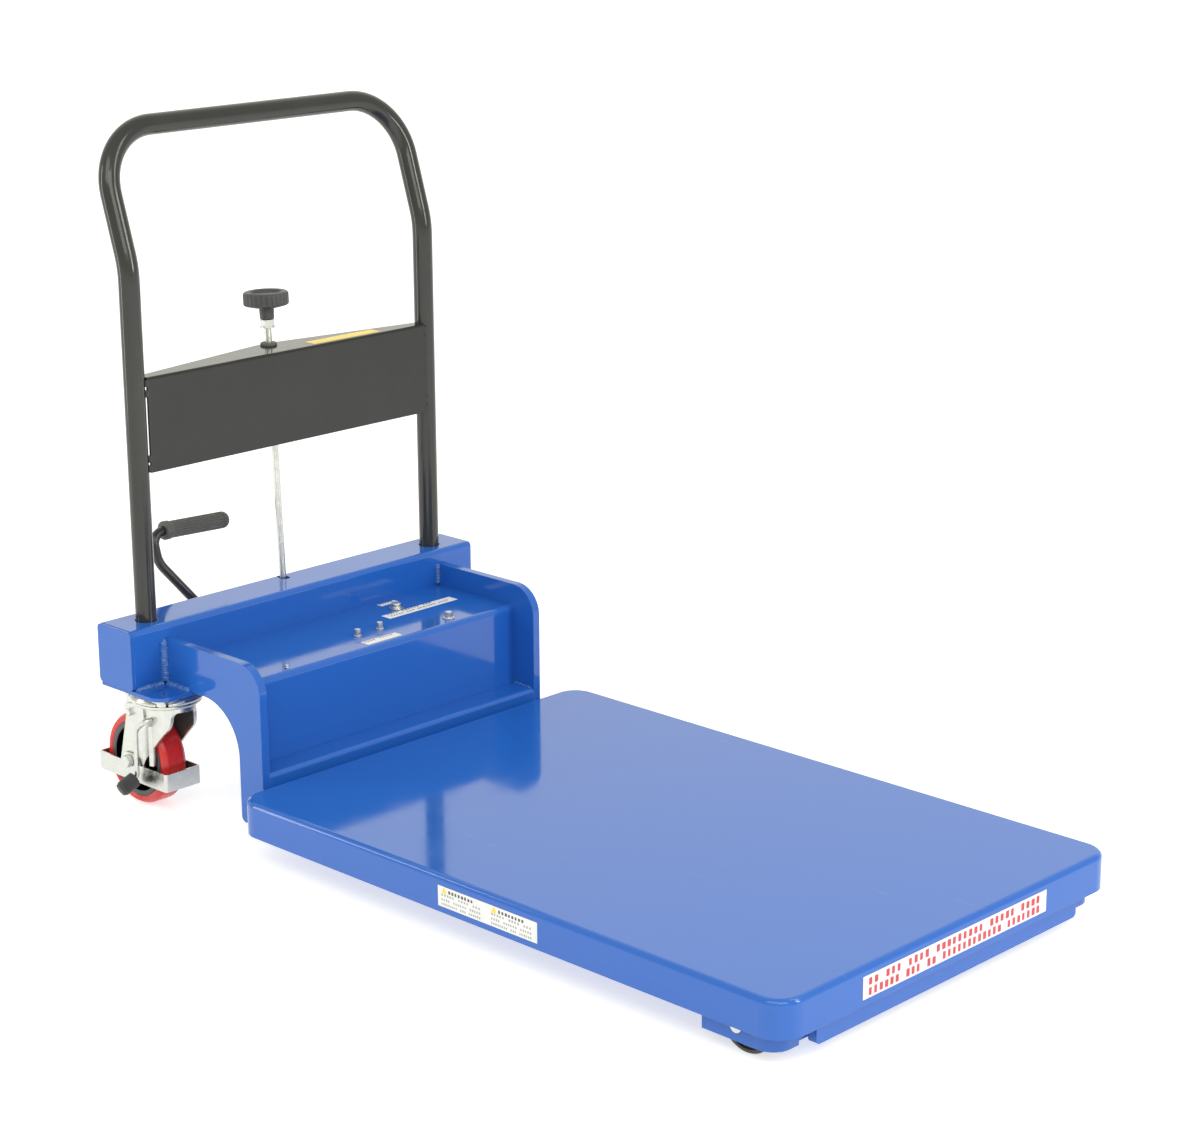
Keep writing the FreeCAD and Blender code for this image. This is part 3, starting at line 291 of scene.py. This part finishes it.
def dress_nodes():
    """Gives each CAD node its own look, or else the look of its slot."""
    for part in frame["record"]["subparts"]:
        slot = part["material_slot"]
        name = NODE_MATERIAL.get(part["node"], SLOT_MATERIAL.get(slot, slot))
        shown = frame["nodes"][part["node"]]
        if not shown.material_slots:
            shown.data.materials.append(MATERIALS[name])
        for holder in shown.material_slots:
            holder.material = MATERIALS[name]


dress_nodes()


# ---------------------------------------------------------------- mesh helpers
def add_piece(name, shape, material, body, smooth=True):
    """Makes one mesh piece from a filled bmesh and lets it ride on a body."""
    mesh = bpy.data.meshes.new(name)
    shape.normal_update()
    shape.to_mesh(mesh)
    shape.free()
    for face in mesh.polygons:
        face.use_smooth = smooth
    mesh.materials.append(MATERIALS[material])
    piece = bpy.data.objects.new(name, mesh)
    bpy.context.scene.collection.objects.link(piece)
    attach(piece, body)


def join_rings(shape, rings):
    """Skins closed rings of points one after another and caps both ends."""
    loops = [[shape.verts.new(point) for point in ring] for ring in rings]
    count = len(loops[0])
    for first, second in zip(loops, loops[1:]):
        for step in range(count):
            after = (step + 1) % count
            shape.faces.new((first[step], first[after], second[after], second[step]))
    shape.faces.new(reversed(loops[0]))
    shape.faces.new(loops[-1])


def across(along):
    """Two directions at right angles to a direction and to each other."""
    side = along.orthogonal().normalized()
    return side, along.cross(side)


def circle(centre, along, radius, around):
    """Points evenly spaced round a line, with the radius in millimetres."""
    side, up = across(along)
    angles = [2 * math.pi * step / around for step in range(around)]
    return [centre + (side * math.cos(angle) + up * math.sin(angle)) * radius * MM
            for angle in angles]


def turned(shape, start, along, profile, around=32):
    """Spins a profile of (distance along, radius) in millimetres about a line."""
    join_rings(shape, [circle(start + along * distance * MM, along, radius, around)
                       for distance, radius in profile])


# ---------------------------------------------------------------- welds
RIPPLE, BEAD_STEP, BEAD_FADE, BEAD_DRIFT = 2.4, 0.6, 3, 0.12


def weld_bead(name, start, end, width, seed):
    """A bead of overlapping ripples between two points, wandering a little."""
    chance = random.Random(seed)
    along = (end - start).normalized()
    side, _ = across(along)
    length = (end - start).length / MM
    rings = []
    for index in range(int(length / BEAD_STEP) + 1):
        distance = index * BEAD_STEP
        taper = max(0, min(1, distance / BEAD_FADE, (length - distance) / BEAD_FADE))
        crest = 0.86 + 0.14 * abs(math.cos(math.pi * distance / RIPPLE))
        radius = width / 2 * crest * (0.35 + 0.65 * taper) * chance.uniform(0.93, 1.07)
        drift = chance.uniform(-BEAD_DRIFT, BEAD_DRIFT)
        centre = start + (along * distance + side * drift) * MM
        rings.append(circle(centre, along, radius, around=12))
    shape = bmesh.new()
    join_rings(shape, rings)
    add_piece(name, shape, "weld", "base")


def add_welds():
    """Beads along the side plates, the rear beam, the cover and the caster mounts.

    Most stop a few millimetres short of the ends of the joints that they close.
    """
    (_, _, beam_low), (beam_front, beam_half, _) = corners("rear_beam")
    (_, plate_in, _), (plate_front, plate_out, plate_top) = corners("side_plate_left")
    (_, _, cover_low), (cover_front, _, cover_top) = corners("pump_cover")
    _, (mount_front, _, _) = corners("caster_mount_left")
    beads = (
        ("beam_outer", (beam_front, plate_out, beam_low + 2.6),
         (beam_front, plate_out, plate_top), 16),
        ("beam_inner", (beam_front, plate_in, cover_top), (beam_front, plate_in, plate_top), 12),
        ("mount_plate", (beam_front + 3, plate_out, beam_low),
         (mount_front - 3, plate_out, beam_low), 12),
        ("mount_beam", (beam_front, plate_out + 3, beam_low),
         (beam_front, beam_half - 1, beam_low), 12),
        ("ledge_front", (plate_front - 1, plate_in, cover_low - 25),
         (plate_front - 4, plate_in, cover_low - 3), 5),
        ("ledge_top", (plate_front - 5, plate_in, cover_low - 1),
         (cover_front - 1, plate_in, cover_low + 0.5), 5),
    )
    for word, side in SIDES:
        for index, (place, start, end, width) in enumerate(beads):
            start_at, end_at = (at(x, side * y, z) for x, y, z in (start, end))
            weld_bead(f"weld_{place}_{word}", start_at, end_at, width, seed=10 * index + side)


add_welds()


# ---------------------------------------------------------------- label print
PRINT_LEVELS = (-0.1, 0.08)
BLOCK_CLIP, BLOCK_WIDE, BLOCK_TALL = 0.12, (0.5, 0.66), (0.86, 1.0)


def stamp(shape, corner, right, up, outline):
    """A thin patch of ink: an outline of (right, up) points that stands a hair above its label."""
    out = right.cross(up)
    join_rings(shape, [[corner + (right * u + up * v + out * level) * MM for u, v in outline]
                       for level in PRINT_LEVELS])


def slab(shape, corner, right, up, long, tall):
    """A printed block with clipped corners."""
    clip = BLOCK_CLIP * min(long, tall)
    stamp(shape, corner, right, up,
          [(clip, 0), (long - clip, 0), (long, clip), (long, tall - clip),
           (long - clip, tall), (clip, tall), (0, tall - clip), (0, clip)])


def printed_row(shape, corner, right, up, long, tall, words, chance, gap=4):
    """A row of plain blocks grouped like words; no letters."""
    total = sum(words) + gap * (len(words) - 1) / tall
    unit = long / total
    cursor = 0.0
    for count in words:
        for block in range(count):
            wide = unit * chance.uniform(*BLOCK_WIDE)
            high = tall * chance.uniform(*BLOCK_TALL)
            slab(shape, corner + right * (cursor + block * unit) * MM, right, up, wide, high)
        cursor += count * unit + gap * unit / tall


def print_front_label(chance, face):
    """Two rows of tall red blocks across the deck's front."""
    red = bmesh.new()
    start, long, tall = -163, 324, 9.8
    for low, words in ((62.6, (2, 3, 4, 9, 5, 4)), (50.2, (6, 3, 2, 12, 7))):
        printed_row(red, at(face, start, low), LEFT, UP, long, tall, words, chance, gap=10)
    add_piece("front_label_print", red, "print_red", "deck", smooth=False)


def print_skirt_labels(chance, face):
    """Two notes side by side on the skirt, each with a heading and an amber wedge."""
    grey, black, amber = bmesh.new(), bmesh.new(), bmesh.new()
    rows = ((61.5, (5, 4, 3)), (55.5, (4, 6, 5)), (49.8, (8, 3, 6)))
    wedge = ((0, 0), (10, 0), (5.6, 7.4), (4.4, 7.4))
    for start in (384, 469):
        for low, words in rows:
            printed_row(grey, at(start, face, low), AHEAD, UP, 68, 3.2, words, chance)
        printed_row(black, at(start + 12, face, 66.3), AHEAD, UP, 44, 4.2, (8,), chance)
        stamp(amber, at(start, face, 65.2), AHEAD, UP, wedge)
    add_piece("skirt_label_print", grey, "print_grey", "deck", smooth=False)
    add_piece("skirt_label_heading", black, "print_black", "deck", smooth=False)
    add_piece("skirt_label_mark", amber, "label_yellow", "deck", smooth=False)


def print_cover_labels(chance, face):
    """Short rows on the labels that lie on the pump cover."""
    notes = bmesh.new()
    tall = 3.4
    for x, y, long, words in ((-139, 88, 110, (5, 3, 7, 4)), (-147, 88, 84, (4, 6, 3)),
                              (-75, -18, 52, (4, 5)), (-193, 114, 26, (5,))):
        printed_row(notes, at(x, y, face), LEFT, -AHEAD, long, tall, words, chance)
    add_piece("cover_label_print", notes, "print_black", "base", smooth=False)


def print_labels():
    """Plain blocks and bars where the labels carry print."""
    chance = random.Random(7)
    (_, skirt_face, _), (front_face, _, _) = corners("deck_labels")
    _, (_, _, cover_face) = corners("base_labels")
    print_front_label(chance, front_face)
    print_skirt_labels(chance, skirt_face)
    print_cover_labels(chance, cover_face)


print_labels()


# ---------------------------------------------------------------- caster details
AXLE_X, CASTER_Y, AXLE_Z = middle("wheel_core_left")
TRAIL = 50
KINGPIN_X = AXLE_X + TRAIL
PAD_START, PAD_END = (-25.6, 40, 46), (-28, 62, 35.5)  # from the kingpin's foot on the floor
# Outline of the black sheets inside the fork's legs, which are painted shade, as (x, z)
SHADE_SHEET_OUTLINE = ((-20, 76), (-8, 90), (8, 106), (22, 119), (31, 131), (34, 147), (-20, 147))  # (x, z)
SHADE_SHEET_DEPTHS = (21.0, 21.7)
WHEEL_RING = ((0, 51.6), (0.9, 51.4), (1.3, 50.2), (1.3, 46.6), (0.9, 45.4), (0, 45.2))
WHEEL_RING_OUT = 17.6


def ribbed(first, last, pitch, low, high):
    """A ribbed profile of (distance, radius), rounded in at both ends."""
    profile = [(first, low * 0.55), (first + 0.4, low * 0.9)]
    distance = first + 1
    while distance < last - 1 - pitch:
        profile += [(distance, low), (distance + pitch * 0.25, high),
                    (distance + pitch * 0.6, high), (distance + pitch * 0.85, low)]
        distance += pitch
    return profile + [(last - 0.4, low * 0.9), (last, low * 0.55)]


def brake_pad(word, side):
    """The ribbed rubber sleeve on the brake lever's end, which slopes down and outward."""
    start, end = (at(KINGPIN_X + x, side * (CASTER_Y + y), z) for x, y, z in (PAD_START, PAD_END))
    sleeve = ribbed(first=-0.6, last=25.8, pitch=3.2, low=9.9, high=10.9)
    pad = bmesh.new()
    turned(pad, start, (end - start).normalized(), sleeve)
    add_piece(f"brake_pad_{word}", pad, "pad_rubber", f"brake_{word}")


def fork_shade_sheet(word, side):
    """Thin black sheets inside the fork's two legs, painted shade where their insides lie in shadow.
    """
    shade_sheet = bmesh.new()
    for face in FACES:
        join_rings(shade_sheet, [[at(KINGPIN_X + x, side * CASTER_Y + face * depth, z)
                            for x, z in SHADE_SHEET_OUTLINE] for depth in SHADE_SHEET_DEPTHS])
    add_piece(f"fork_shade_sheet_{word}", shade_sheet, "black_plastic", f"caster_{word}", smooth=False)


def wheel_rings(word, side):
    """A grey ring on each face of the wheel's core.

    Its ends are capped, so flat discs cross the core's recess and the axle inside the ring.
    """
    for face in FACES:
        ring = bmesh.new()
        centre = at(AXLE_X, side * CASTER_Y + face * WHEEL_RING_OUT, AXLE_Z)
        turned(ring, centre, LEFT * face, WHEEL_RING, around=64)
        add_piece(f"wheel_ring_{word}_{face + 1}", ring, "grey_ring", f"wheel_{word}")


for word, side in SIDES:
    brake_pad(word, side)
    fork_shade_sheet(word, side)
    wheel_rings(word, side)


# ---------------------------------------------------------------- release rod
ROD_FOOT, ROD_HEAD = (-267, 0, 260.4), (-281.5, 0, 654.5)
THREAD_LOW, THREAD_HIGH, THREAD_PITCH = 594, 613.2, 1.25
THREAD_ROOT, THREAD_FLANK, THREAD_CREST = 4.3, 4.85, 5.2


def rod_thread():
    """The fine thread on the leaning release rod, just under its nut."""
    foot, head = at(*ROD_FOOT), at(*ROD_HEAD)
    start = foot + (head - foot) * (THREAD_LOW - ROD_FOOT[2]) / (ROD_HEAD[2] - ROD_FOOT[2])
    length = THREAD_HIGH - THREAD_LOW
    profile = [(0, THREAD_ROOT)]
    distance = 0.3
    while distance < length - 0.3:
        profile += [(distance, THREAD_FLANK), (distance + 0.5, THREAD_CREST),
                    (distance + 1.0, THREAD_FLANK)]
        distance += THREAD_PITCH
    thread = bmesh.new()
    turned(thread, start, (head - foot).normalized(), profile + [(length, THREAD_ROOT)])
    add_piece("rod_thread_lower", thread, "zinc", "release")


rod_thread()


# ---------------------------------------------------------------- camera
CAMERA_PLACE = (2.41195, -2.41799, 1.36160)
AZIMUTH, ELEVATION, ROLL = (math.radians(angle) for angle in (43.953, 16.164, -0.248))
LENS = 84.53


def add_camera():
    """Three-quarter view of the front from the cart's right."""
    back = Vector((math.sin(AZIMUTH) * math.cos(ELEVATION),
                   -math.cos(AZIMUTH) * math.cos(ELEVATION), math.sin(ELEVATION)))
    level = Vector((math.cos(AZIMUTH), math.sin(AZIMUTH), 0))
    upward = back.cross(level)
    right = level * math.cos(ROLL) + upward * math.sin(ROLL)
    up = upward * math.cos(ROLL) - level * math.sin(ROLL)
    data = bpy.data.cameras.new("camera")
    data.sensor_width = 36
    data.lens = LENS
    data.clip_end = 100
    camera = bpy.data.objects.new("camera", data)
    bpy.context.scene.collection.objects.link(camera)
    turn = Matrix((right, up, back)).transposed().to_4x4()
    camera.matrix_world = Matrix.Translation(CAMERA_PLACE) @ turn
    bpy.context.scene.camera = camera


add_camera()


# ---------------------------------------------------------------- studio
LIGHT_TARGET = (-0.1, 0, 0.3)
LIGHT_COLOUR = (1, 0.99, 0.94)
STUDIO_LIGHTS = (  # name, place, (width, height), power
    ("key", (0.9, -2.8, 3.4), (2.4, 2.0), 38),
    ("fill", (3.0, -1.9, 2.9), (2.4, 2.0), 50),
    ("front", (2.7, 0.9, 1.5), (0.5, 1.4), 24),
    ("strip_right", (1.3, 0.7, 1.9), (0.25, 1.2), 6),
    ("strip_left", (-1.7, -1.6, 0.9), (0.25, 1.7), 8),
)
SKY_COLOUR = (1, 0.99, 0.9, 1)
SKY_BRIGHTEST_TOWARDS = (-0.69, 0.72, 0.1)
SKY_SWEEP = {"From Min": 0.35, "From Max": 0.9, "To Min": 0.78, "To Max": 1.3}
FLOOR_HALF = 14.0
FLOOR_GREY, FLOOR_PATCHES, FLOOR_GLOW = (0.66, 0.66, 0.66), (0.64, 0.64, 0.64), 0.62


def add_light(name, place, size, power):
    """A soft box that faces the cart."""
    data = bpy.data.lights.new(name, "AREA")
    data.shape = "RECTANGLE"
    data.size, data.size_y = size
    data.energy = power
    data.color = LIGHT_COLOUR
    lamp = bpy.data.objects.new(name, data)
    bpy.context.scene.collection.objects.link(lamp)
    lamp.location = place
    lamp.rotation_mode = "QUATERNION"
    lamp.rotation_quaternion = (Vector(LIGHT_TARGET) - Vector(place)).to_track_quat("-Z", "Y")


def add_backdrop():
    """A pale surround, brightest behind the cart and fading round the sides."""
    world = bpy.data.worlds.new("studio")
    bpy.context.scene.world = world
    world.use_nodes = True
    tree = world.node_tree
    sky = tree.nodes["Background"]
    sky.inputs["Color"].default_value = SKY_COLOUR
    coords = tree.nodes.new("ShaderNodeTexCoord")
    facing = tree.nodes.new("ShaderNodeVectorMath")
    facing.operation = "DOT_PRODUCT"
    facing.inputs[1].default_value = SKY_BRIGHTEST_TOWARDS
    sweep = tree.nodes.new("ShaderNodeMapRange")
    sweep.interpolation_type = "SMOOTHSTEP"
    for socket, value in SKY_SWEEP.items():
        sweep.inputs[socket].default_value = value
    tree.links.new(coords.outputs["Generated"], facing.inputs[0])
    tree.links.new(facing.outputs["Value"], sweep.inputs["Value"])
    tree.links.new(sweep.outputs["Result"], sky.inputs["Strength"])


def add_floor():
    """A plain pale floor that glows faintly, so that it stays as white as the backdrop."""
    mesh = bpy.data.meshes.new("floor")
    half = FLOOR_HALF
    mesh.from_pydata([(-half, -half, 0), (half, -half, 0), (half, half, 0), (-half, half, 0)],
                     [], [(0, 1, 2, 3)])
    floor = bpy.data.objects.new("floor", mesh)
    bpy.context.scene.collection.objects.link(floor)
    ground = Shader("floor", FLOOR_GREY, 0.6, Emission_Color=(1, 1, 1, 1),
                    Emission_Strength=FLOOR_GLOW)
    ground.tint(ground.spread(ground.noise(1.5, 2), 0.4, 0.6, 0, 0.2), FLOOR_PATCHES)
    mesh.materials.append(ground.material)


bpy.context.scene.view_settings.view_transform = "Standard"
add_backdrop()
for light in STUDIO_LIGHTS:
    add_light(*light)
add_floor()
